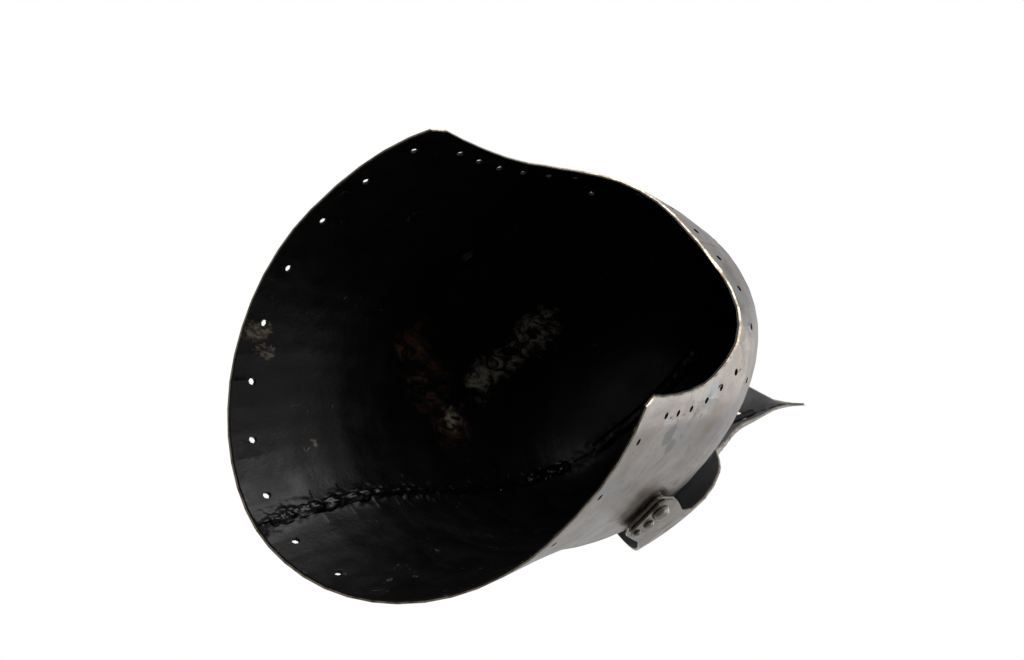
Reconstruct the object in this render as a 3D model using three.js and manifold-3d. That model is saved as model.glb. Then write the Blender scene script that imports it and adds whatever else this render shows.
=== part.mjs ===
// A visored bascinet: a rounded skull of two welded halves, open at the face and the neck,
// and a beaked visor that turns on two domed studs at the temples.
// Millimetres, +Z to the crown, facing -Y, the wearer's left at +X, standing on the neck rim.

import * as THREE from 'three';
import { mergeVertices } from 'three/addons/utils/BufferGeometryUtils.js';
import Module from 'manifold-3d';

// Sheet and gaps; FAR is well beyond the helmet, and bores run from BORE_START to BORE_END
const SHEET = 1.6;
const GAP = 0.3;
const FAR = 400;
const BORE_START = 60;
const BORE_END = 130;

// Facets round the turned pieces and bores, steps along the beads, and halvings in a search
const STUD_BORE_SIDES = 16;
const RIVET_SIDES = 12;
const STUD_SIDES = 20;
const BEAD_STEPS = 26;
const RIDGE_BEAD_STEPS = 14;
const BEAD_CURVE_SEGMENTS = 5;
const HALVINGS = 40;
const WALK_STEPS = 2000;

// Skull: stations from the neck rim to the crown, each
// [height, front y, back y, half width, y of the widest point, squareness of the front]
const SKULL_STATIONS = [
  [0, -112, 152, 118, 25, 2.2],
  [30, -112, 130, 111, 21, 2.3],
  [62, -110, 114, 104, 17, 2.5],
  [92, -108, 106, 97.8, 13, 2.8],
  [116, -109, 101, 95, 10, 2.85],
  [150, -112, 94, 86.5, 8, 2.3],
  [182, -98, 85, 74, 6, 2.1],
  [207, -77, 71, 60, 5, 2],
  [224, -55, 54, 43, 4, 2],
  [234, -33, 35, 25, 3, 2],
  [238, 2, 2, 0, 2, 2],
];
const BACK_POWER = 1.9;
const SKULL_SIDES = 52;
const SKULL_RINGS = 20;

// Face opening seen from the side, from the neck rim up to the brow, each [y, z]
const FACE_EDGE = [
  [-55, 0],
  [-60, 6],
  [-61, 20],
  [-63, 36],
  [-66, 52],
  [-71, 68],
  [-80, 84],
  [-90, 98],
  [-101, 110],
  [-110, 116],
  [-126, 118],
];
const FACE_CUT_FRONT = -200;
const FACE_CUT_BOTTOM = -10;

// Lacing holes: along the neck rim, up each cheek and over the brow
const HOLE_RADIUS = 2;
const HOLE_SIDES = 8;
const DRILL_LENGTH = 14;
const RIM_HOLES = 8;
const RIM_HOLE_INSET = 10.5;
const RIM_HOLE_FIRST = 16;
const RIM_HOLE_PITCH = 33;
const CHEEK_HOLES = 6;
const CHEEK_HOLE_INSET = 9;
const CHEEK_HOLE_FIRST = 32;
const CHEEK_HOLE_PITCH = 14.5;
const BROW_HOLES = 4;
const BROW_HOLE_HEIGHT = 125;
const BROW_HOLE_PITCH = 21.5;

// Weld beads on the inside of the seams, seen from the side, each [y, z]
const BEAD_RADIUS = 3.2;
const BACK_BEAD = [
  [147, 8],
  [130, 30],
  [114, 62],
  [106, 92],
  [101, 116],
  [94, 150],
  [85, 182],
  [71, 207],
  [58, 221],
];
const FRONT_BEAD = [
  [40, 232],
  [2, 238],
  [-55, 224],
  [-77, 207],
  [-98, 182],
  [-112, 150],
  [-110, 124],
];

// Visor: a drum about the pivots that clears the skull, and a beak in front of it.
// Its own frame has the pivots at the origin and the beak pointing along -Y.
const PIVOT_Y = 0;
const PIVOT_Z = 112;
const RAISE_DEG = 91;
const DROOP_DEG = 10;
const DRUM_HALF_WIDTH = 99;
const DRUM_RADIUS = 131;
const DRUM_POWER = 2.2;
const DRUM_SIDES = 80;
const DRUM_RINGS = 24;

// Beak stations, each [forward, half width at the lower edge, height of the ridge]
const BEAK_STATIONS = [
  [60, 66, 60],
  [105, 61, 62],
  [135, 50, 61],
  [160, 39, 58],
  [185, 30, 53],
  [213, 22, 43],
  [238, 15, 30],
  [258, 9.5, 19],
  [276, 5, 11],
  [295, 2.4, 5],
  [314, 1.4, 2.4],
];
const BEAK_DEPTH = 45;
const BEAK_POWER = 1.2;
const BEAK_SIDES = 32;
const BEAK_RINGS = 24;
const BEAK_HOLLOW_END = 0.9;
const RIDGE_BEAD_RADIUS = 4.5;
const RIDGE_BEAD_DROP = 3;
const RIDGE_BEAD_FIRST = 2;
const RIDGE_BEAD_END = 8;

// Visor outline seen from the side, each [forward, height]
const VISOR_LOWER_EDGE = [
  [330, 0],
  [300, 2.2],
  [276, 3.5],
  [240, 1],
  [184, -2],
  [140, -2],
  [100, -4],
  [78, 2],
  [55, 7],
  [32, 3],
  [14, -6],
  [6, -9],
  [-6, -9],
];
const VISOR_REAR_EDGE = [
  [-10, -8],
  [-10, 16],
  [-5, 22],
];
const VISOR_UPPER_EDGE = [
  [20, 30],
  [50, 48],
  [80, 65],
  [112, 82],
  [150, 110],
  [330, 110],
];

// One short slot through each wall of the beak, just under the ridge
const SLOT_FORWARD = 248;
const SLOT_HEIGHT = 19;
const SLOT_LENGTH = 11;
const SLOT_WIDTH = 2.2;
const SLOT_REACH = 12;
const SLOT_MIDDLE = 7;

// Ears: plates riveted to the visor, and the studs it turns on
const PLATE_THICKNESS = 1.2;
const PLATE_OUTLINE = [
  [-9, -6],
  [-6, -9],
  [6, -9],
  [9, -5],
  [9, 7],
  [5, 14],
  [1, 19],
  [-3, 20],
  [-5.5, 19.5],
  [-9, 14],
];
const STUD_RADIUS = 2.6;
const STUD_HEAD_RADIUS = 5.2;
const STUD_HEAD_HEIGHT = 3.6;
const STUD_TAIL_RADIUS = 4.2;
const TAIL_THICKNESS = 0.9;
const RIVET_TAIL_LIP = 0.9;
const RIVET_TAIL_INSET = 1.9;
const COLLAR_RADIUS = 6.5;
const BURR_RADIUS = 7;
const BURR_THICKNESS = 1.2;
const BURR_CLEARANCE = 2;
const EAR_RIVETS = [
  { forward: 0, height: 9.7, radius: 3.2, rise: 2.2, shank: 1.5 },
  { forward: -3.5, height: 16.6, radius: 2.2, rise: 1.5, shank: 1.2 },
];

const wasm = await Module();
wasm.setup();

// Solids and meshes

function toSolid(geometry) {
  const bare = geometry.clone();
  bare.deleteAttribute('normal');
  bare.deleteAttribute('uv');
  const merged = mergeVertices(bare, 1e-4);
  const corners = merged.index.array;
  const kept = [];
  for (let i = 0; i < corners.length; i += 3) {
    const [a, b, c] = corners.slice(i, i + 3);
    if (a !== b && b !== c && c !== a) {
      kept.push(a, b, c);
    }
  }
  const vertProperties = new Float32Array(merged.attributes.position.array);
  const triVerts = new Uint32Array(kept);
  return new wasm.Manifold(new wasm.Mesh({ numProp: 3, vertProperties, triVerts }));
}

function toMesh(name, solid, color) {
  const surface = solid.getMesh();
  const geometry = new THREE.BufferGeometry();
  geometry.setAttribute('position', new THREE.BufferAttribute(surface.vertProperties, 3));
  geometry.setIndex(new THREE.BufferAttribute(surface.triVerts, 1));
  const material = new THREE.MeshStandardMaterial({ color, metalness: 0.9, roughness: 0.45 });
  const mesh = new THREE.Mesh(geometry, material);
  mesh.name = name;
  return mesh;
}

function box(width, depth, height, x, y, z) {
  const geometry = new THREE.BoxGeometry(width, depth, height);
  geometry.translate(x, y, z);
  return toSolid(geometry);
}

// A side outline in (y, z), carried across in x
function acrossX(outline, fromX, toX) {
  const shape = new THREE.Shape(outline.map(([y, z]) => new THREE.Vector2(y, z)));
  const geometry = new THREE.ExtrudeGeometry(shape, { depth: toX - fromX, bevelEnabled: false });
  const basis = new THREE.Matrix4().makeBasis(
    new THREE.Vector3(0, 1, 0),
    new THREE.Vector3(0, 0, 1),
    new THREE.Vector3(1, 0, 0),
  );
  geometry.applyMatrix4(basis);
  geometry.translate(fromX, 0, 0);
  return toSolid(geometry);
}

// A turned shape about the x axis: profile points are [radius, x]
function turnedAboutX(profile, sides) {
  const points = profile.map(([radius, x]) => new THREE.Vector2(radius, x));
  const geometry = new THREE.LatheGeometry(points, sides);
  geometry.rotateZ(-Math.PI / 2);
  return toSolid(geometry);
}

function rod(radius, fromX, toX, sides) {
  return turnedAboutX([[0, fromX], [radius, fromX], [radius, toX], [0, toX]], sides);
}

// A bore about the x axis that clears a shank of the given radius
function bore(shank, sides) {
  return rod(shank + GAP, BORE_START, BORE_END, sides);
}

// Everything on one side of the median seam
function sideOfSeam(side) {
  return box(FAR, 2 * FAR, 2 * FAR, side * (FAR + GAP) / 2, 0, 0);
}

function signedPower(value, power) {
  return Math.sign(value) * Math.abs(value) ** power;
}

// A lofted solid: a lathed unit drum whose every point is moved by place(angle, radius, t)
function loft(profile, sides, place) {
  const geometry = new THREE.LatheGeometry(profile, sides);
  const points = geometry.attributes.position;
  const point = new THREE.Vector3();
  for (let i = 0; i < points.count; i += 1) {
    point.fromBufferAttribute(points, i);
    const radius = Math.hypot(point.x, point.z);
    const angle = radius > 0 ? Math.atan2(point.x, point.z) : 0;
    place(point, angle, radius, point.y);
    points.setXYZ(i, point.x, point.y, point.z);
  }
  return toSolid(geometry);
}

// Skull

const skullProfile = new THREE.CatmullRomCurve3(
  SKULL_STATIONS.map(([z, front, back]) => new THREE.Vector3(front, back, z)),
  false,
  'catmullrom',
);
const skullWidth = new THREE.CatmullRomCurve3(
  SKULL_STATIONS.map(([, , , half, widest, power]) => new THREE.Vector3(half, widest, power)),
  false,
  'catmullrom',
);

function skullAt(t) {
  const profile = skullProfile.getPoint(t);
  const width = skullWidth.getPoint(t);
  const { x: front, y: back, z } = profile;
  const { x: half, y: widest, z: frontPower } = width;
  return { z, front, back, half, widest, frontPower };
}

function skullAtHeight(z) {
  let low = 0;
  let high = 1;
  for (let i = 0; i < HALVINGS; i += 1) {
    const middle = (low + high) / 2;
    if (skullProfile.getPoint(middle).z < z) {
      low = middle;
    } else {
      high = middle;
    }
  }
  return skullAt(low);
}

// The skull's outer form moved inwards by inset; a negative inset moves it outwards
function skullForm(inset) {
  const profile = [new THREE.Vector2(0, 0), new THREE.Vector2(1, 0)];
  for (let ring = 1; ring < SKULL_RINGS; ring += 1) {
    profile.push(new THREE.Vector2(1, ring / SKULL_RINGS));
  }
  profile.push(new THREE.Vector2(0, 1));
  const top = SKULL_STATIONS.at(-1)[0];
  return loft(profile, SKULL_SIDES, (point, angle, radius, t) => {
    const section = skullAt(t);
    const across = Math.sin(angle);
    const ahead = Math.cos(angle);
    const power = ahead > 0 ? section.frontPower : BACK_POWER;
    const reach = ahead > 0 ? section.widest - section.front : section.back - section.widest;
    const half = Math.max(section.half - inset, 0);
    const depth = Math.max(reach - inset, 0);
    point.x = radius * half * signedPower(across, 2 / power);
    point.y = section.widest - radius * depth * signedPower(ahead, 2 / power);
    point.z = section.z * (top - inset) / top - (t === 0 && inset > 0 ? 1 : 0);
  });
}

// Half width of the skull at (y, z), and the outward direction there
function skullSide(y, z) {
  const section = skullAtHeight(z);
  const isFront = y < section.widest;
  const power = isFront ? section.frontPower : BACK_POWER;
  const reach = isFront ? section.widest - section.front : section.back - section.widest;
  const along = Math.abs(y - section.widest) / reach;
  const x = section.half * (1 - along ** power) ** (1 / power);
  const normalX = (x / section.half) ** (power - 1) / section.half;
  const normalY = (isFront ? -1 : 1) * along ** (power - 1) / reach;
  return { x, normal: new THREE.Vector2(normalX, normalY).normalize() };
}

// A drill through the sheet at a point, along a level outward direction
function drill(x, y, z, normal, side) {
  const geometry = new THREE.CylinderGeometry(HOLE_RADIUS, HOLE_RADIUS, DRILL_LENGTH, HOLE_SIDES);
  geometry.rotateZ(-Math.PI / 2);
  geometry.rotateZ(Math.atan2(normal.y, side * normal.x));
  geometry.translate(side * x, y, z);
  return toSolid(geometry);
}

function rimHoles(side) {
  const section = skullAtHeight(RIM_HOLE_INSET);
  const holes = [];
  let walked = 0;
  let wanted = RIM_HOLE_FIRST;
  let last = new THREE.Vector2(0, section.back);
  for (let step = 1; step < WALK_STEPS && holes.length < RIM_HOLES; step += 1) {
    const y = section.back - (step / WALK_STEPS) * (section.back - section.front);
    const here = skullSide(y, RIM_HOLE_INSET);
    const next = new THREE.Vector2(here.x, y);
    walked += next.distanceTo(last);
    last = next;
    if (walked >= wanted) {
      holes.push(drill(here.x, y, RIM_HOLE_INSET, here.normal, side));
      wanted += RIM_HOLE_PITCH;
    }
  }
  return holes;
}

function cheekHoles(side) {
  const edge = new THREE.SplineCurve(FACE_EDGE.map(([y, z]) => new THREE.Vector2(y, z)));
  const length = edge.getLength();
  const holes = [];
  for (let i = 0; i < CHEEK_HOLES; i += 1) {
    const u = (CHEEK_HOLE_FIRST + i * CHEEK_HOLE_PITCH) / length;
    const point = edge.getPointAt(u);
    const tangent = edge.getTangentAt(u);
    const y = point.x + tangent.y * CHEEK_HOLE_INSET;
    const z = point.y - tangent.x * CHEEK_HOLE_INSET;
    const here = skullSide(y, z);
    holes.push(drill(here.x, y, z, here.normal, side));
  }
  return holes;
}

function browHoles(side) {
  const section = skullAtHeight(BROW_HOLE_HEIGHT);
  const holes = [];
  for (let i = 0; i < BROW_HOLES; i += 1) {
    const x = (i + 0.5) * BROW_HOLE_PITCH;
    const power = section.frontPower;
    const share = (1 - (x / section.half) ** power) ** (1 / power);
    const y = section.widest - share * (section.widest - section.front);
    const here = skullSide(y, BROW_HOLE_HEIGHT);
    holes.push(drill(here.x, y, BROW_HOLE_HEIGHT, here.normal, side));
  }
  return holes;
}

const faceOutline = [
  ...FACE_EDGE,
  [FACE_CUT_FRONT, FACE_EDGE.at(-1)[1]],
  [FACE_CUT_FRONT, FACE_CUT_BOTTOM],
  [FACE_EDGE[0][0], FACE_CUT_BOTTOM],
];

function skullHalf(side) {
  const stud = bore(STUD_RADIUS, STUD_BORE_SIDES).translate([0, PIVOT_Y, PIVOT_Z]);
  const studHole = side > 0 ? stud : stud.mirror([1, 0, 0]);
  const cutters = [
    skullForm(SHEET),
    acrossX(faceOutline, -FAR, FAR),
    studHole,
    ...rimHoles(side),
    ...cheekHoles(side),
    ...browHoles(side),
  ];
  return skullForm(0).intersect(sideOfSeam(side)).subtract(wasm.Manifold.union(cutters));
}

function seamBead(points, clearance) {
  const path = new THREE.CatmullRomCurve3(points.map(([y, z]) => new THREE.Vector3(0, y, z)));
  const round = new THREE.Shape();
  round.absarc(0, 0, BEAD_RADIUS + SHEET, 0, Math.PI * 2);
  const geometry = new THREE.ExtrudeGeometry(round, {
    steps: BEAD_STEPS,
    curveSegments: BEAD_CURVE_SEGMENTS,
    extrudePath: path,
  });
  return toSolid(geometry).intersect(clearance);
}

// Visor

const beakWidth = new THREE.CatmullRomCurve3(
  BEAK_STATIONS.map(([forward, half, ridge]) => new THREE.Vector3(forward, half, ridge)),
  false,
  'catmullrom',
);

// The beak's outer form moved inwards by inset, square to its walls
function beakForm(inset, end) {
  const profile = [new THREE.Vector2(0, 0)];
  for (let ring = 0; ring <= BEAK_RINGS; ring += 1) {
    profile.push(new THREE.Vector2(1, end * ring / BEAK_RINGS));
  }
  profile.push(new THREE.Vector2(0, end));
  return loft(profile, BEAK_SIDES, (point, angle, radius, t) => {
    const station = beakWidth.getPoint(t);
    const slant = Math.hypot(station.y, station.z);
    const half = station.y - inset * slant / station.z;
    const ridge = station.z - inset * slant / station.y;
    const across = Math.sin(angle);
    const down = Math.cos(angle);
    const rise = down > 0 ? BEAK_DEPTH : ridge;
    point.x = radius * half * signedPower(across, 2 / BEAK_POWER);
    point.y = -station.x;
    point.z = -radius * rise * signedPower(down, 2 / BEAK_POWER);
  });
}

function drumForm(inset) {
  const profile = [];
  for (let ring = 0; ring <= DRUM_RINGS; ring += 1) {
    const angle = Math.PI * ring / DRUM_RINGS;
    const across = -signedPower(Math.cos(angle), 2 / DRUM_POWER);
    const out = ring === 0 || ring === DRUM_RINGS ? 0 : Math.sin(angle) ** (2 / DRUM_POWER);
    profile.push([out * (DRUM_RADIUS - inset), across * (DRUM_HALF_WIDTH - inset)]);
  }
  return turnedAboutX(profile, DRUM_SIDES);
}

const visorOutline = [...VISOR_LOWER_EDGE, ...VISOR_REAR_EDGE, ...VISOR_UPPER_EDGE]
  .map(([forward, height]) => [-forward, height])
  .reverse();

function visorShell() {
  const outer = drumForm(-SHEET).add(beakForm(0, 1));
  const inner = drumForm(0).add(beakForm(SHEET, BEAK_HOLLOW_END));
  return outer.subtract(inner).intersect(acrossX(visorOutline, -FAR, FAR));
}

function turnedInPlace(solid) {
  return solid.rotate([-(RAISE_DEG - DROOP_DEG), 0, 0]).translate([0, PIVOT_Y, PIVOT_Z]);
}

// Bores at an ear for the stud and the rivets, in the visor's own frame
function earBores() {
  const rivets = EAR_RIVETS.map(({ forward, height, shank }) => (
    bore(shank, RIVET_SIDES).translate([0, -forward, height])
  ));
  return [bore(STUD_RADIUS, STUD_BORE_SIDES), ...rivets];
}

function visorHalf(side) {
  const slot = box(SLOT_REACH, SLOT_LENGTH, SLOT_WIDTH, SLOT_MIDDLE, -SLOT_FORWARD, SLOT_HEIGHT);
  const drills = wasm.Manifold.union([...earBores(), slot]);
  const placed = side > 0 ? drills : drills.mirror([1, 0, 0]);
  return visorShell().intersect(sideOfSeam(side)).subtract(placed);
}

function visorBead() {
  const inner = drumForm(GAP).add(beakForm(SHEET + GAP, BEAK_HOLLOW_END));
  const stations = BEAK_STATIONS.slice(RIDGE_BEAD_FIRST, RIDGE_BEAD_END);
  const path = new THREE.CatmullRomCurve3(
    stations.map(([forward, , ridge]) => new THREE.Vector3(0, -forward, ridge - RIDGE_BEAD_DROP)),
  );
  const round = new THREE.Shape();
  round.absarc(0, 0, RIDGE_BEAD_RADIUS, 0, Math.PI * 2);
  const geometry = new THREE.ExtrudeGeometry(round, {
    steps: RIDGE_BEAD_STEPS,
    curveSegments: BEAD_CURVE_SEGMENTS,
    extrudePath: path,
  });
  return toSolid(geometry).intersect(inner).intersect(acrossX(visorOutline, -FAR, FAR));
}

// Ears

// A pin about the x axis: a peened tail, a shank and a domed head
function headedPin(from, tail, shank, seat, head, rise, sides) {
  const neck = from + TAIL_THICKNESS;
  const profile = [[0, from], [tail, from], [tail, neck], [shank, neck], [shank, seat]];
  for (let step = 0; step < 5; step += 1) {
    const angle = step * Math.PI / 10;
    profile.push([head * Math.cos(angle), seat + rise * Math.sin(angle)]);
  }
  profile.push([0, seat + rise]);
  return turnedAboutX(profile, sides);
}

const plateInnerX = DRUM_HALF_WIDTH + SHEET + GAP;
const plateOuterX = plateInnerX + PLATE_THICKNESS;
const skullInnerX = skullSide(PIVOT_Y, PIVOT_Z).x - SHEET;
const burrOuterX = skullInnerX - BURR_CLEARANCE;
const burrInnerX = burrOuterX - BURR_THICKNESS;

function earPlate() {
  const outline = PLATE_OUTLINE.map(([forward, height]) => [-forward, height]).reverse();
  const plate = acrossX(outline, plateInnerX, plateOuterX);
  return plate.subtract(wasm.Manifold.union(earBores()));
}

function earRivet(rivet) {
  const { forward, height, radius, rise, shank } = rivet;
  const tailX = DRUM_HALF_WIDTH - RIVET_TAIL_INSET;
  const seat = plateOuterX + GAP;
  return headedPin(tailX, shank + RIVET_TAIL_LIP, shank, seat, radius, rise, RIVET_SIDES)
    .translate([0, -forward, height]);
}

function pivotStud() {
  const tailX = burrInnerX - GAP - TAIL_THICKNESS;
  const seat = plateOuterX + GAP;
  const tail = STUD_TAIL_RADIUS;
  return headedPin(tailX, tail, STUD_RADIUS, seat, STUD_HEAD_RADIUS, STUD_HEAD_HEIGHT, STUD_SIDES)
    .translate([0, PIVOT_Y, PIVOT_Z]);
}

function pivotCollar() {
  return rod(COLLAR_RADIUS, BORE_START, DRUM_HALF_WIDTH - 2 * GAP, STUD_SIDES)
    .subtract(bore(STUD_RADIUS, STUD_BORE_SIDES))
    .translate([0, PIVOT_Y, PIVOT_Z])
    .subtract(skullForm(-GAP));
}

function pivotBurr() {
  return rod(BURR_RADIUS, burrInnerX, burrOuterX, STUD_BORE_SIDES)
    .subtract(bore(STUD_RADIUS, STUD_BORE_SIDES))
    .translate([0, PIVOT_Y, PIVOT_Z]);
}

// Assembly

const BLACKENED = 0x2b2b2d;
const STEEL = 0xb9b4ac;
const DARK_STEEL = 0x8a8680;
const helmet = new THREE.Group();
helmet.name = 'helmet';

for (const [hand, side] of [['left', 1], ['right', -1]]) {
  const handed = (solid) => (side > 0 ? solid : solid.mirror([1, 0, 0]));
  helmet.add(toMesh(`skull_${hand}_half`, skullHalf(side), STEEL));
  helmet.add(toMesh(`visor_${hand}_half`, turnedInPlace(visorHalf(side)), STEEL));
  helmet.add(toMesh(`${hand}_pivot_stud`, handed(pivotStud()), DARK_STEEL));
  helmet.add(toMesh(`${hand}_pivot_collar`, handed(pivotCollar()), DARK_STEEL));
  helmet.add(toMesh(`${hand}_pivot_burr`, handed(pivotBurr()), BLACKENED));
  helmet.add(toMesh(`${hand}_ear_plate`, turnedInPlace(handed(earPlate())), STEEL));
  EAR_RIVETS.forEach((rivet, i) => {
    const solid = turnedInPlace(handed(earRivet(rivet)));
    helmet.add(toMesh(`${hand}_ear_rivet_${i + 1}`, solid, DARK_STEEL));
  });
}

const insideOfSkull = skullForm(SHEET + GAP);
helmet.add(toMesh('skull_back_weld', seamBead(BACK_BEAD, insideOfSkull), BLACKENED));
helmet.add(toMesh('skull_front_weld', seamBead(FRONT_BEAD, insideOfSkull), BLACKENED));
helmet.add(toMesh('visor_ridge_weld', turnedInPlace(visorBead()), BLACKENED));

// The part stands with its bounding box centred over the origin
const bounds = new THREE.Box3().setFromObject(helmet);
const centre = bounds.getCenter(new THREE.Vector3());
for (const mesh of helmet.children) {
  mesh.geometry.translate(-centre.x, -centre.y, -bounds.min.z);
}

export default helmet;
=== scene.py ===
import math

import bmesh
import bpy
import numpy as np
from mathutils import Matrix, Vector, noise
from mathutils.bvhtree import BVHTree
from mathutils.kdtree import KDTree


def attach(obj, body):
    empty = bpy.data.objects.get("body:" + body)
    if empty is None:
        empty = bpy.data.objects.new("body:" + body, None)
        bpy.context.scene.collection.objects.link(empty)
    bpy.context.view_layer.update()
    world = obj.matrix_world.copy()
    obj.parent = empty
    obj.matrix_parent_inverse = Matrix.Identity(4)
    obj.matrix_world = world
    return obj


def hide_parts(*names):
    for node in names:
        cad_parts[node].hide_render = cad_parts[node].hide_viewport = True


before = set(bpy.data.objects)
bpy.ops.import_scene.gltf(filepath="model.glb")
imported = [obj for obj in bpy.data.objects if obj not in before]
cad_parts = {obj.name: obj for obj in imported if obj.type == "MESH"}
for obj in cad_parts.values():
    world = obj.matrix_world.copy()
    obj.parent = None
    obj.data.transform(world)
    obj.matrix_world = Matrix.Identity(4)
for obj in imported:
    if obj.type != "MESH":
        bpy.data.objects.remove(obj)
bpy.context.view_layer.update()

# Metres throughout, in the frame of the CAD: +Z to the crown, facing -Y, neck rim at z = 0.
PIVOT = Vector((0, -0.02, 0.112))
SKIN, LINING, EDGE, HOLE, RIM = 0, 1, 2, 3, 4

# Meshes: how thick a sheet may be, how parallel its skins are, the largest face of a hole's wall in
# square metres, the angles between regions and at a sharp edge, and the longest edges
THIN, THICK = 0.0006, 0.004
PARALLEL = 0.85
HOLE_FACET = 8e-6
PART_ANGLE = math.radians(40)
SHARP_ANGLE = math.radians(38)
SHEET_GRAIN = 0.004
SPATTER_GRAIN = 0.0014
WELD_GRAIN = 0.0013
SMOOTHING_ROUNDS = 24
SMOOTH_STEP, RESTORE_STEP = 0.5, -0.51


def triangles(bm, length, chosen=lambda edge: True):
    """Splits the chosen edges that are longer than length, and keeps every face a triangle."""
    for _ in range(8):
        long_edges = [edge for edge in bm.edges if edge.calc_length() > length and chosen(edge)]
        if not long_edges:
            break
        bmesh.ops.subdivide_edges(bm, edges=long_edges, cuts=1)
        wide = [face for face in bm.faces if len(face.verts) > 3]
        bmesh.ops.triangulate(bm, faces=wide)


def loaded(node):
    """The CAD node's mesh, joined up, as a new bmesh."""
    bm = bmesh.new()
    bm.from_mesh(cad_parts[node].data)
    bmesh.ops.remove_doubles(bm, verts=bm.verts, dist=2e-6)
    bmesh.ops.dissolve_degenerate(bm, edges=bm.edges, dist=1e-6)
    bmesh.ops.triangulate(bm, faces=[face for face in bm.faces if len(face.verts) > 3])
    bm.normal_update()
    return bm


def part_faces(bm, side):
    """Gives each face of a sheet its material: the outer skin, the lining or a cut edge."""
    tree = BVHTree.FromBMesh(bm)
    thin = {}
    for face in bm.faces:
        inward = -face.normal
        hit = tree.ray_cast(face.calc_center_median() + inward * 2e-5, inward)
        thin[face] = (
            hit[0] is not None and THIN < hit[3] < THICK and hit[1].dot(inward) > PARALLEL
        )
    seen = set()
    for first in bm.faces:
        if first in seen:
            continue
        seen.add(first)
        region, queue = [], [first]
        while queue:
            face = queue.pop()
            region.append(face)
            for edge in face.edges:
                for other in edge.link_faces:
                    if other not in seen and edge.calc_face_angle(0) < PART_ANGLE:
                        seen.add(other)
                        queue.append(other)
        area = sum(face.calc_area() for face in region)
        thin_area = sum(face.calc_area() for face in region if thin[face])
        outward = sum(face.calc_area() * face.normal.x * side for face in region)
        kind = EDGE
        if thin_area > area / 2:
            kind = SKIN if outward > 0 else LINING
        elif area < HOLE_FACET:
            kind = HOLE
        for face in region:
            face.material_index = kind


def paint_rim(bm):
    """Runs the lining's paint over the inner half of the cut edges."""
    def touches(vert, kind):
        return any(face.material_index == kind for face in vert.link_faces)

    across = [
        edge for edge in bm.edges
        if all(face.material_index == EDGE for face in edge.link_faces)
        and any(touches(vert, SKIN) for vert in edge.verts)
        and any(touches(vert, LINING) for vert in edge.verts)
    ]
    bmesh.ops.subdivide_edges(bm, edges=across, cuts=1)
    bmesh.ops.triangulate(bm, faces=[face for face in bm.faces if len(face.verts) > 3])
    painted = [
        face for face in bm.faces
        if face.material_index == EDGE and any(touches(vert, LINING) for vert in face.verts)
    ]
    for face in painted:
        face.material_index = RIM


def relax(bm, rounds):
    """Rounds the facets of both skins along their normals, and holds the cut edges."""
    bm.verts.index_update()
    points = np.array([vert.co for vert in bm.verts])
    normals = np.array([vert.normal for vert in bm.verts])
    free = np.array([
        len({face.material_index for face in vert.link_faces}) == 1
        and vert.link_faces[0].material_index in (SKIN, LINING)
        for vert in bm.verts
    ])
    pairs = np.array([[vert.index for vert in edge.verts] for edge in bm.edges])
    count = np.bincount(pairs.ravel(), minlength=len(points))[:, None]
    for turn in range(rounds):
        total = np.zeros_like(points)
        np.add.at(total, pairs[:, 0], points[pairs[:, 1]])
        np.add.at(total, pairs[:, 1], points[pairs[:, 0]])
        step = SMOOTH_STEP if turn % 2 == 0 else RESTORE_STEP
        rise = ((total / count - points) * normals).sum(1)[:, None]
        points[free] += (step * rise * normals)[free]
    for vert, point in zip(bm.verts, points):
        vert.co = point
    bm.normal_update()


def beaten(bm, height_at):
    """Moves a sheet by height_at(point) along the outer skin's normal, both skins together."""
    skin = [v for v in bm.verts if any(f.material_index == SKIN for f in v.link_faces)]
    places = KDTree(len(skin))
    for index, vert in enumerate(skin):
        places.insert(vert.co, index)
    places.balance()
    normals = []
    for vert in skin:
        total = Vector()
        for face in vert.link_faces:
            if face.material_index == SKIN:
                total += face.normal * face.calc_area()
        normals.append(total.normalized())
    moves = []
    for vert in bm.verts:
        point, index, _ = places.find(vert.co)
        moves.append(normals[index] * height_at(point))
    for vert, move in zip(bm.verts, moves):
        vert.co += move
    bm.normal_update()


def make_piece(bm, name, node, body, materials):
    """Makes the object of a piece, shaded smooth apart from its sharp edges."""
    for face in bm.faces:
        face.smooth = True
    for edge in bm.edges:
        kinds = {face.material_index for face in edge.link_faces}
        edge.smooth = len(kinds) == 1 and edge.calc_face_angle(0) < SHARP_ANGLE
    mesh = bpy.data.meshes.new(name)
    bm.to_mesh(mesh)
    bm.free()
    for material in materials:
        mesh.materials.append(material)
    piece = bpy.data.objects.new(name, mesh)
    bpy.context.scene.collection.objects.link(piece)
    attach(piece, body)
    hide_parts(node)


# Materials

def add(tree, kind, inputs=None, **settings):
    """A new node, with its settings and its inputs, each a value or a socket to link."""
    node = tree.nodes.new(kind)
    for key, value in settings.items():
        setattr(node, key, value)
    for key, value in (inputs or {}).items():
        if isinstance(value, bpy.types.NodeSocket):
            tree.links.new(value, node.inputs[key])
        else:
            node.inputs[key].default_value = value
    return node


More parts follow.
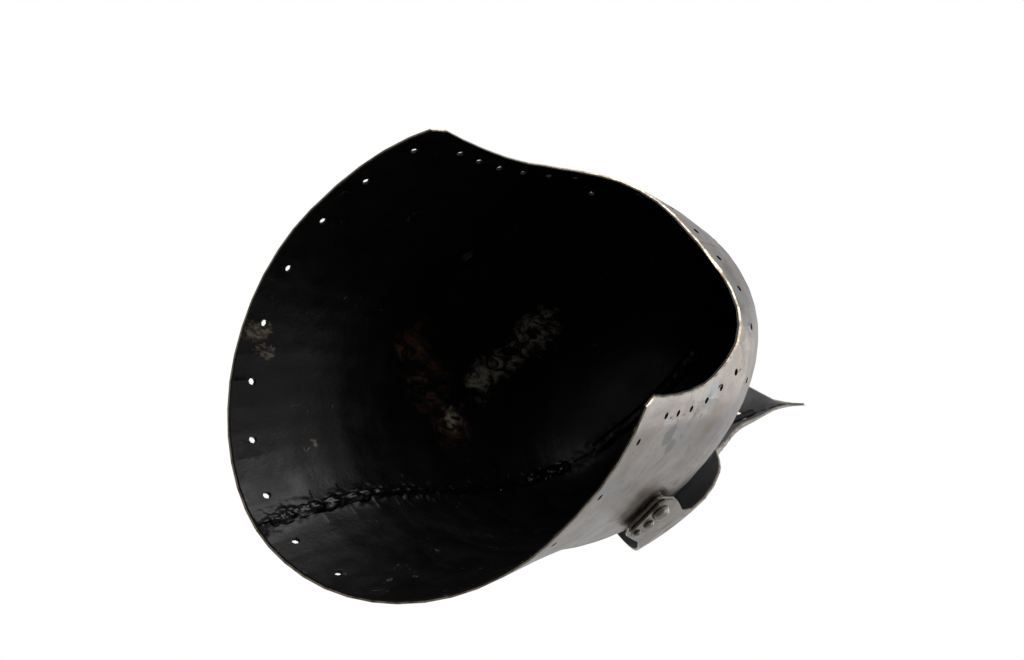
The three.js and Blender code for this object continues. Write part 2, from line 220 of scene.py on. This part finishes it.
class Look:
    """A procedural material in object coordinates, so that it stays put on its piece."""

    def __init__(self, name, **plain):
        self.material = bpy.data.materials.new(name)
        self.material.use_nodes = True
        self.tree = self.material.node_tree
        self.shader = self.tree.nodes["Principled BSDF"]
        self.place = add(self.tree, "ShaderNodeTexCoord").outputs["Object"]
        for key, value in plain.items():
            self.shader.inputs[key.replace("_", " ")].default_value = value

    def noise(self, scale, detail=4, rough=0.55, warp=0, stretch=None, seed=0):
        place = self.place
        if stretch or seed:
            inputs = {"Vector": place, "Location": (seed, seed, seed)}
            inputs["Scale"] = stretch or (1, 1, 1)
            place = add(self.tree, "ShaderNodeMapping", inputs).outputs[0]
        inputs = {"Vector": place, "Scale": scale, "Detail": detail}
        inputs["Roughness"] = rough
        inputs["Distortion"] = warp
        return add(self.tree, "ShaderNodeTexNoise", inputs).outputs[0]

    def between(self, value, low, high, to_low=0, to_high=1):
        inputs = {0: value, 1: low, 2: high, 3: to_low, 4: to_high}
        return add(self.tree, "ShaderNodeMapRange", inputs).outputs[0]

    def math(self, operation, *values):
        inputs = dict(enumerate(values))
        return add(self.tree, "ShaderNodeMath", inputs, operation=operation).outputs[0]

    def blend(self, factor, first, second):
        inputs = {0: factor, 6: first, 7: second}
        for key in (6, 7):
            if isinstance(inputs[key], tuple):
                inputs[key] = (*inputs[key], 1)
        return add(self.tree, "ShaderNodeMix", inputs, data_type="RGBA").outputs[2]

    def axis(self, name):
        return add(self.tree, "ShaderNodeSeparateXYZ", {0: self.place}).outputs[name]

    def patch(self, centre, radii, wobble, raggedness=1.2, soft=0.12):
        """1 inside a ragged patch about centre, 0 outside it."""
        minus = tuple(-value / radius for value, radius in zip(centre, radii))
        inputs = {0: self.place, 1: tuple(1 / radius for radius in radii), 2: minus}
        near = add(self.tree, "ShaderNodeVectorMath", inputs, operation="MULTIPLY_ADD")
        reach = add(self.tree, "ShaderNodeVectorMath", {0: near.outputs[0]}, operation="LENGTH")
        ragged = self.math("MULTIPLY_ADD", wobble, raggedness, reach.outputs["Value"])
        middle = 1 + raggedness / 2
        return self.between(ragged, middle, middle - soft)

    def union(self, spots, wobble, raggedness, soft):
        """1 inside any of the ragged patches."""
        total = None
        for centre, radii in spots:
            spot = self.patch(centre, radii, wobble, raggedness, soft)
            total = spot if total is None else self.math("MAXIMUM", total, spot)
        return total

    def bump(self, *layers):
        """Bump from (height, distance in metres, strength) layers, one over the other."""
        normal = None
        for height, distance, strength in layers:
            inputs = {"Height": height, "Distance": distance, "Strength": strength}
            if normal is not None:
                inputs["Normal"] = normal
            normal = add(self.tree, "ShaderNodeBump", inputs).outputs[0]
        self.tree.links.new(normal, self.shader.inputs["Normal"])

    def set(self, **values):
        for key, value in values.items():
            socket = self.shader.inputs[key.replace("_", " ")]
            self.tree.links.new(value, socket)


def polished_steel(name, pale, brown, blue, rough_low, rough_high, marks=()):
    """Satin steel with bluish and brownish blotches, faint scratches, specks and smudges."""
    look = Look(name, Metallic=1.0)
    cloud = look.noise(21, 6, 0.62, 0.3)
    colour = look.blend(look.between(cloud, 0.44, 0.64), pale, brown)
    cool = look.noise(27, 5, 0.6, 0.3, seed=3.1)
    colour = look.blend(look.between(cool, 0.5, 0.66), colour, blue)
    smudge = look.noise(46, 6, 0.65, 0.8, seed=7.7)
    smudged = look.between(smudge, 0.56, 0.7)
    dull = tuple(value * 0.5 for value in pale)
    colour = look.blend(look.math("MULTIPLY", smudged, 0.55), colour, dull)
    if marks:
        fine_edge = look.noise(95, 5, 0.6, 0.5, seed=6.6)
        tarnish = look.union(marks, fine_edge, 1.6, 0.3)
        colour = look.blend(look.math("MULTIPLY", tarnish, 0.75), colour, (0.15, 0.155, 0.158))
    speck = look.noise(420, 3, 0.5, seed=1.9)
    specks = look.between(speck, 0.68, 0.74)
    colour = look.blend(look.math("MULTIPLY", specks, 0.7), colour, (0.05, 0.035, 0.025))
    scratch = look.noise(900, 2, 0.5, stretch=(0.06, 1, 0.16), seed=5.3)
    fine = look.noise(75, 5, 0.6, seed=2.2)
    rough = look.between(fine, 0.3, 0.7, rough_low, rough_high)
    rough = look.math("MULTIPLY_ADD", smudged, 0.14, rough)
    rough = look.math("MULTIPLY_ADD", scratch, 0.08, rough)
    look.set(Base_Color=colour, Roughness=rough)
    hammer = look.noise(38, 2, 0.4)
    look.bump((hammer, 0.0012, 0.35), (scratch, 0.00006, 0.5), (speck, 0.0001, 0.5))
    return look.material


# Patches of grey tarnish on the outside of the skull, each (centre, radii)
TARNISH = [
    ((0.0983, -0.0645, 0.0487), (0.006, 0.0075, 0.0075)),
    ((0.0975, -0.0585, 0.0605), (0.006, 0.005, 0.006)),
    ((-0.09, 0.02, 0.15), (0.01, 0.012, 0.009)),
    ((0.03, -0.118, 0.165), (0.011, 0.01, 0.008)),
]
STEEL = polished_steel(
    "steel_outside", (0.335, 0.31, 0.292), (0.25, 0.215, 0.187), (0.275, 0.282, 0.295), 0.24, 0.38,
    marks=TARNISH,
)
DARK_STEEL = polished_steel(
    "steel_dark", (0.26, 0.24, 0.22), (0.13, 0.1, 0.075), (0.17, 0.18, 0.2), 0.14, 0.28
)


def cut_edge(name, bright, brown):
    """The bare cut edge of the sheet, bright where it is filed and brown where it isn't; given
    near-black colours, it serves as painted shade on the walls of the holes.
    """
    look = Look(name, Metallic=1.0)
    filed = look.noise(130, 4, 0.6)
    colour = look.blend(look.between(filed, 0.45, 0.65), bright, brown)
    mark = look.noise(700, 3, 0.6, stretch=(1, 1, 0.2))
    look.set(Base_Color=colour, Roughness=look.between(mark, 0.3, 0.7, 0.3, 0.5))
    look.bump((mark, 0.0001, 0.6))
    return look.material


# Wear inside the skull, each (centre, radii): bare steel, dust and brown stains
BARE = [
    ((-0.0915, 0.0725, 0.0085), (0.0045, 0.0075, 0.0105)),
    ((-0.0835, 0.0775, 0.0145), (0.0042, 0.0045, 0.0085)),
    ((-0.0351, 0.0948, 0.042), (0.0022, 0.0026, 0.0016)),
    ((-0.0375, 0.0938, 0.0405), (0.0012, 0.0014, 0.0036)),
    ((0.0492, 0.108, 0.0115), (0.0016, 0.002, 0.0014)),
    ((0.065, 0.092, 0.0196), (0.0014, 0.0014, 0.003)),
    ((0.0699, 0.0828, 0.0273), (0.0012, 0.003, 0.0012)),
]
DUST = [
    ((-0.066, -0.006, 0.189), (0.018, 0.016, 0.014)),
    ((-0.0636, 0.01, 0.186), (0.016, 0.02, 0.01)),
    ((-0.062, 0.024, 0.178), (0.013, 0.012, 0.008)),
    ((-0.0593, 0.0353, 0.1702), (0.013, 0.014, 0.012)),
    ((-0.045, 0.058, 0.152), (0.009, 0.009, 0.009)),
]
STAINS = [
    ((-0.0752, 0.0413, 0.1117), (0.014, 0.026, 0.018)),
    ((-0.0605, 0.0507, 0.1326), (0.018, 0.02, 0.022)),
    ((-0.0407, 0.0605, 0.1492), (0.02, 0.014, 0.016)),
    ((-0.0173, 0.1277, 0.0), (0.004, 0.004, 0.003)),
]


def black_paint(name, base, rough_low, rough_high, rim_wear, marks):
    """Semi-gloss black paint, uneven and dusty, chipped to the steel in places."""
    look = Look(name, Metallic=0.0)
    look.shader.inputs["Specular IOR Level"].default_value = 0.3
    dust = look.noise(30, 6, 0.65, 0.5)
    dusty = look.between(dust, 0.52, 0.75)
    dust_colour = tuple(value * 2 + 0.0015 for value in base)
    colour = look.blend(look.math("MULTIPLY", dusty, 0.6), base, dust_colour)
    wobble = look.noise(260, 6, 0.7, 0.6)
    coarse = look.noise(120, 5, 0.7, 0.8, seed=4.4)
    chipped = look.math("MULTIPLY", look.between(wobble, 0.79, 0.82), 0.6)
    if marks:
        smear = look.noise(105, 7, 0.74, 1.6, stretch=(1, 1, 0.4), seed=9.4)
        stains = look.union(STAINS, coarse, 2.4, 0.8)
        stained = look.math("MULTIPLY", stains, look.between(smear, 0.46, 0.58))
        dusts = look.union(DUST, coarse, 2.6, 0.6)
        dusted = look.math("MULTIPLY", dusts, look.between(smear, 0.44, 0.54))
        colour = look.blend(look.math("MULTIPLY", stained, 0.8), colour, (0.1, 0.05, 0.03))
        colour = look.blend(look.math("MULTIPLY", dusted, 0.8), colour, (0.3, 0.27, 0.21))
        chipped = look.math("MAXIMUM", chipped, look.union(BARE, wobble, 2.2, 0.14))
        line = look.noise(22, 2, 0.4, 0.6, seed=3.8)
        near_line = look.math("ABSOLUTE", look.math("SUBTRACT", line, 0.5))
        scratched = look.math(
            "MULTIPLY", look.between(near_line, 0.0035, 0.0015), look.between(coarse, 0.56, 0.62)
        )
        chipped = look.math("MAXIMUM", chipped, look.math("MULTIPLY", scratched, 0.7))
    if rim_wear:
        low = look.between(look.axis("Z"), 0.002, 0.0)
        worn = look.between(look.math("MULTIPLY_ADD", low, 0.1, coarse), 0.7, 0.73)
        chipped = look.math("MAXIMUM", chipped, worn)
    brushed = look.noise(420, 4, 0.7, 0.3, stretch=(1, 1, 0.08), seed=2.6)
    tan = look.blend(look.between(brushed, 0.42, 0.56), (0.13, 0.108, 0.086), (0.025, 0.018, 0.013))
    colour = look.blend(chipped, colour, tan)
    peel = look.noise(520, 3, 0.5)
    uneven = look.noise(55, 4, 0.55, seed=8.2)
    rough = look.between(uneven, 0.3, 0.7, rough_low, rough_high)
    rough = look.math("MULTIPLY_ADD", dusty, 0.12, rough)
    look.set(Base_Color=colour, Roughness=rough, Metallic=look.math("MULTIPLY", chipped, 0.45))
    sunk = look.math("SUBTRACT", 1, chipped)
    look.bump((uneven, 0.0016, 0.35), (peel, 0.0002, 0.35), (sunk, 0.00015, 0.5))
    return look.material


PAINT = black_paint("black_paint", (0.0012, 0.0012, 0.0013), 0.33, 0.47, True, True)
WELD = black_paint("black_weld_paint", (0.002, 0.002, 0.0022), 0.2, 0.34, False, False)


def visor_paint():
    """Thin dark grey paint inside the visor, scuffed along the beak."""
    look = Look("visor_paint", Metallic=0.2)
    look.shader.inputs["Specular IOR Level"].default_value = 0.4
    cloud = look.noise(28, 5, 0.6, 0.4)
    colour = look.blend(look.between(cloud, 0.4, 0.65), (0.1, 0.1, 0.105), (0.19, 0.188, 0.19))
    scuff = look.noise(190, 5, 0.7, 0.3, stretch=(1, 1, 0.12), seed=2.7)
    scuffed = look.between(scuff, 0.66, 0.7)
    colour = look.blend(scuffed, colour, (0.3, 0.29, 0.28))
    grain = look.noise(600, 3, 0.5)
    look.set(Base_Color=colour, Roughness=look.between(cloud, 0.3, 0.7, 0.34, 0.5))
    look.bump((cloud, 0.001, 0.3), (grain, 0.00015, 0.35))
    return look.material


VISOR_PAINT = visor_paint()
CUT = cut_edge("cut_edge", (0.6, 0.51, 0.39), (0.22, 0.165, 0.11))
# The walls of the small holes: the same bare-edge finish made near black, as painted shade inside
# the holes.
HOLE_WALL_SHADE = cut_edge("hole_wall_shade", (0.06, 0.055, 0.05), (0.02, 0.018, 0.016))


# Sheets

PIVOT_STILL, PIVOT_FADE = 0.016, 0.01
BROAD_MARK, SMALL_MARK, VISOR_MARK = 0.0005, 0.00018, 0.0003


def near_pivot(point):
    """0 near the pivots, rising to 1 beyond PIVOT_STILL plus PIVOT_FADE."""
    reach = math.hypot(point.y - PIVOT.y, point.z - PIVOT.z)
    return min(1, max(0, (reach - PIVOT_STILL) / PIVOT_FADE))


def skull_height(point):
    """The skull's hammer marks, all inwards, which fade out round the pivots."""
    broad = 0.5 + 0.5 * noise.noise(point * 30)
    small = 0.5 + 0.5 * noise.noise(point * 85 + Vector((5, 2, 7)))
    return -near_pivot(point) * (BROAD_MARK * broad + SMALL_MARK * small)


def visor_height(point):
    """The visor's hammer marks, all outwards, which fade out round the pivots."""
    broad = 0.5 + 0.5 * noise.noise(point * 34 + Vector((3, 1, 4)))
    return near_pivot(point) * VISOR_MARK * broad


def beside_seam(edge):
    """Whether an edge lies on the skull's lining close to the back seam."""
    return (
        all(abs(vert.co.x) < 0.022 and vert.co.y > 0 for vert in edge.verts)
        and all(face.material_index == LINING for face in edge.link_faces)
    )


def weld_spread(bm):
    """Pebbled spatter on the lining beside the back seam of the skull."""
    for vert in bm.verts:
        if vert.co.y < 0 or any(face.material_index != LINING for face in vert.link_faces):
            continue
        edge_of_weld = 0.0085 + 0.0055 * noise.noise(vert.co * 45)
        fade = min(1, max(0, (edge_of_weld - abs(vert.co.x)) / 0.005))
        pebble = 1 - noise.voronoi(vert.co * 170)[0][0] * 1.5
        lump = 0.5 + 0.5 * noise.noise(vert.co * 90)
        fine = noise.noise(vert.co * 420)
        rise = 0.35 + 1.3 * max(0, lump - 0.2)
        height = 0.0023 * max(0, pebble) * rise + 0.0005 * fine + 0.0006 * lump
        fade *= 1 - 0.75 * min(1, max(0, (vert.co.z - 0.11) / 0.05))
        vert.co += vert.normal * (height * fade)
    bm.normal_update()


SKULL_MATERIALS = (STEEL, PAINT, CUT, HOLE_WALL_SHADE, PAINT)
VISOR_MATERIALS = (STEEL, VISOR_PAINT, CUT, HOLE_WALL_SHADE, VISOR_PAINT)
SHEETS = [
    ("skull", "left", 1, SKULL_MATERIALS),
    ("skull", "right", -1, SKULL_MATERIALS),
    ("visor", "left", 1, VISOR_MATERIALS),
    ("visor", "right", -1, VISOR_MATERIALS),
]
for body, hand, side, materials in SHEETS:
    node = f"{body}_{hand}_half"
    bm = loaded(node)
    part_faces(bm, side)
    paint_rim(bm)
    triangles(bm, SHEET_GRAIN)
    relax(bm, SMOOTHING_ROUNDS)
    if body == "skull":
        triangles(bm, SPATTER_GRAIN, beside_seam)
        beaten(bm, skull_height)
        weld_spread(bm)
    else:
        beaten(bm, visor_height)
    make_piece(bm, f"{body}_{hand}_sheet", node, body, materials)


# Welds

def weld_bead(node, name, body, lumps, height):
    """A weld bead of uneven puddles: lumps is their number per metre, height their rise."""
    bm = loaded(node)
    triangles(bm, WELD_GRAIN)
    for vert in bm.verts:
        place = vert.co * lumps
        lump = noise.noise(place) * 0.65 + noise.noise(place * 2.3) * 0.35
        vert.co += vert.normal * (lump * height)
    bm.normal_update()
    for face in bm.faces:
        face.material_index = 0
    make_piece(bm, name, node, body, (WELD,))


weld_bead("skull_back_weld", "skull_back_bead", "skull", 170, 0.0022)
weld_bead("skull_front_weld", "skull_front_bead", "skull", 170, 0.0012)
weld_bead("visor_ridge_weld", "visor_ridge_bead", "visor", 200, 0.0004)


# Pivots, ear plates and rivets

# Each (name in its node, name of the piece, body)
SMALL = [
    ("pivot_stud", "stud", "skull"),
    ("pivot_collar", "collar", "skull"),
    ("pivot_burr", "burr", "skull"),
    ("ear_plate", "plate", "visor"),
    ("ear_rivet_1", "rivet_1", "visor"),
    ("ear_rivet_2", "rivet_2", "visor"),
]
for hand in ("left", "right"):
    for part, name, body in SMALL:
        bm = loaded(f"{hand}_{part}")
        for face in bm.faces:
            face.material_index = 0
        make_piece(bm, f"{hand}_{name}", f"{hand}_{part}", body, (DARK_STEEL,))


# Stage

FLOOR_HALF = 40
FLOOR_DROP = 0.0005


def stage_floor():
    """A plain pale floor, seen from above only, because the camera looks up from below it."""
    look = Look("floor", Roughness=0.8)
    look.shader.inputs["Base Color"].default_value = (0.55, 0.55, 0.55, 1)
    look.shader.inputs["Emission Color"].default_value = (1, 1, 1, 1)
    look.shader.inputs["Emission Strength"].default_value = 0.5
    tree = look.tree
    clear = add(tree, "ShaderNodeBsdfTransparent")
    under = add(tree, "ShaderNodeNewGeometry").outputs["Backfacing"]
    inputs = {0: under, 1: look.shader.outputs[0], 2: clear.outputs[0]}
    mixed = add(tree, "ShaderNodeMixShader", inputs)
    tree.links.new(mixed.outputs[0], tree.nodes["Material Output"].inputs["Surface"])
    mesh = bpy.data.meshes.new("floor")
    half = FLOOR_HALF
    corners = [(-half, -half, 0), (half, -half, 0), (half, half, 0), (-half, half, 0)]
    mesh.from_pydata(corners, [], [(0, 1, 2, 3)])
    mesh.materials.append(look.material)
    floor = bpy.data.objects.new("floor", mesh)
    floor.location.z = -FLOOR_DROP
    floor.visible_diffuse = False
    floor.visible_glossy = False
    floor.visible_shadow = False
    bpy.context.scene.collection.objects.link(floor)


stage_floor()

# Camera: below the neck rim, on the wearer's left, looking up into the skull.
RIGHT = Vector((0.537156, -0.703273, 0.465693))
UP = Vector((-0.714760, -0.672670, -0.191398))
BACK = Vector((0.447863, -0.230049, -0.864000))
CAMERA_PLACE = (0.44278, -0.26223, -0.81674)
SENSOR_MM, LENS_MM = 36, 66.66
camera_data = bpy.data.cameras.new("camera")
camera_data.sensor_width = SENSOR_MM
camera_data.lens = LENS_MM
camera = bpy.data.objects.new("camera", camera_data)
turn = Matrix((RIGHT, UP, BACK)).transposed().to_4x4()
camera.matrix_world = Matrix.Translation(CAMERA_PLACE) @ turn
bpy.context.scene.collection.objects.link(camera)
bpy.context.scene.camera = camera

# Light: a white world and soft panels about the middle of the helmet,
# each (name, offset, size in metres, power in watts)
MIDDLE = Vector((0, 0, 0.15))
PANELS = [
    ("key", UP * 1.5 + BACK * 0.6 + RIGHT * 0.4, 1.3, 15),
    ("side", RIGHT * 1.6 - UP * 0.2 + BACK * 0.3, 1.2, 2.5),
    ("top", Vector((0.7, -1.1, 2.2)), 1.8, 9),
    ("behind", Vector((-1.3, 1.6, 1.2)), 1.2, 6),
]
for name, offset, size, power in PANELS:
    data = bpy.data.lights.new(name, "AREA")
    data.shape = "DISK"
    data.size = size
    data.energy = power
    light = bpy.data.objects.new(name, data)
    light.location = MIDDLE + offset
    light.rotation_euler = (-offset).to_track_quat("-Z", "Y").to_euler()
    bpy.context.scene.collection.objects.link(light)

# The world is plain white to the camera, and a grey that brightens upwards to everything else
LOW, HIGH = -0.5, 0.15
DIM, BRIGHT = 0.18, 0.62
world = bpy.data.worlds.new("studio")
world.use_nodes = True
bpy.context.scene.world = world
seen = add(world.node_tree, "ShaderNodeLightPath").outputs["Is Camera Ray"]
toward = add(world.node_tree, "ShaderNodeTexCoord").outputs["Generated"]
height = add(world.node_tree, "ShaderNodeSeparateXYZ", {0: toward}).outputs["Z"]
shades = {0: height, 1: LOW, 2: HIGH, 3: DIM, 4: BRIGHT}
sky = add(world.node_tree, "ShaderNodeMapRange", shades).outputs[0]
level = add(world.node_tree, "ShaderNodeMapRange", {0: seen, 3: sky, 4: 1.0}).outputs[0]
world.node_tree.nodes["Background"].inputs["Color"].default_value = (1, 1, 1, 1)
world.node_tree.links.new(level, world.node_tree.nodes["Background"].inputs["Strength"])
bpy.context.scene.view_settings.view_transform = "Standard"
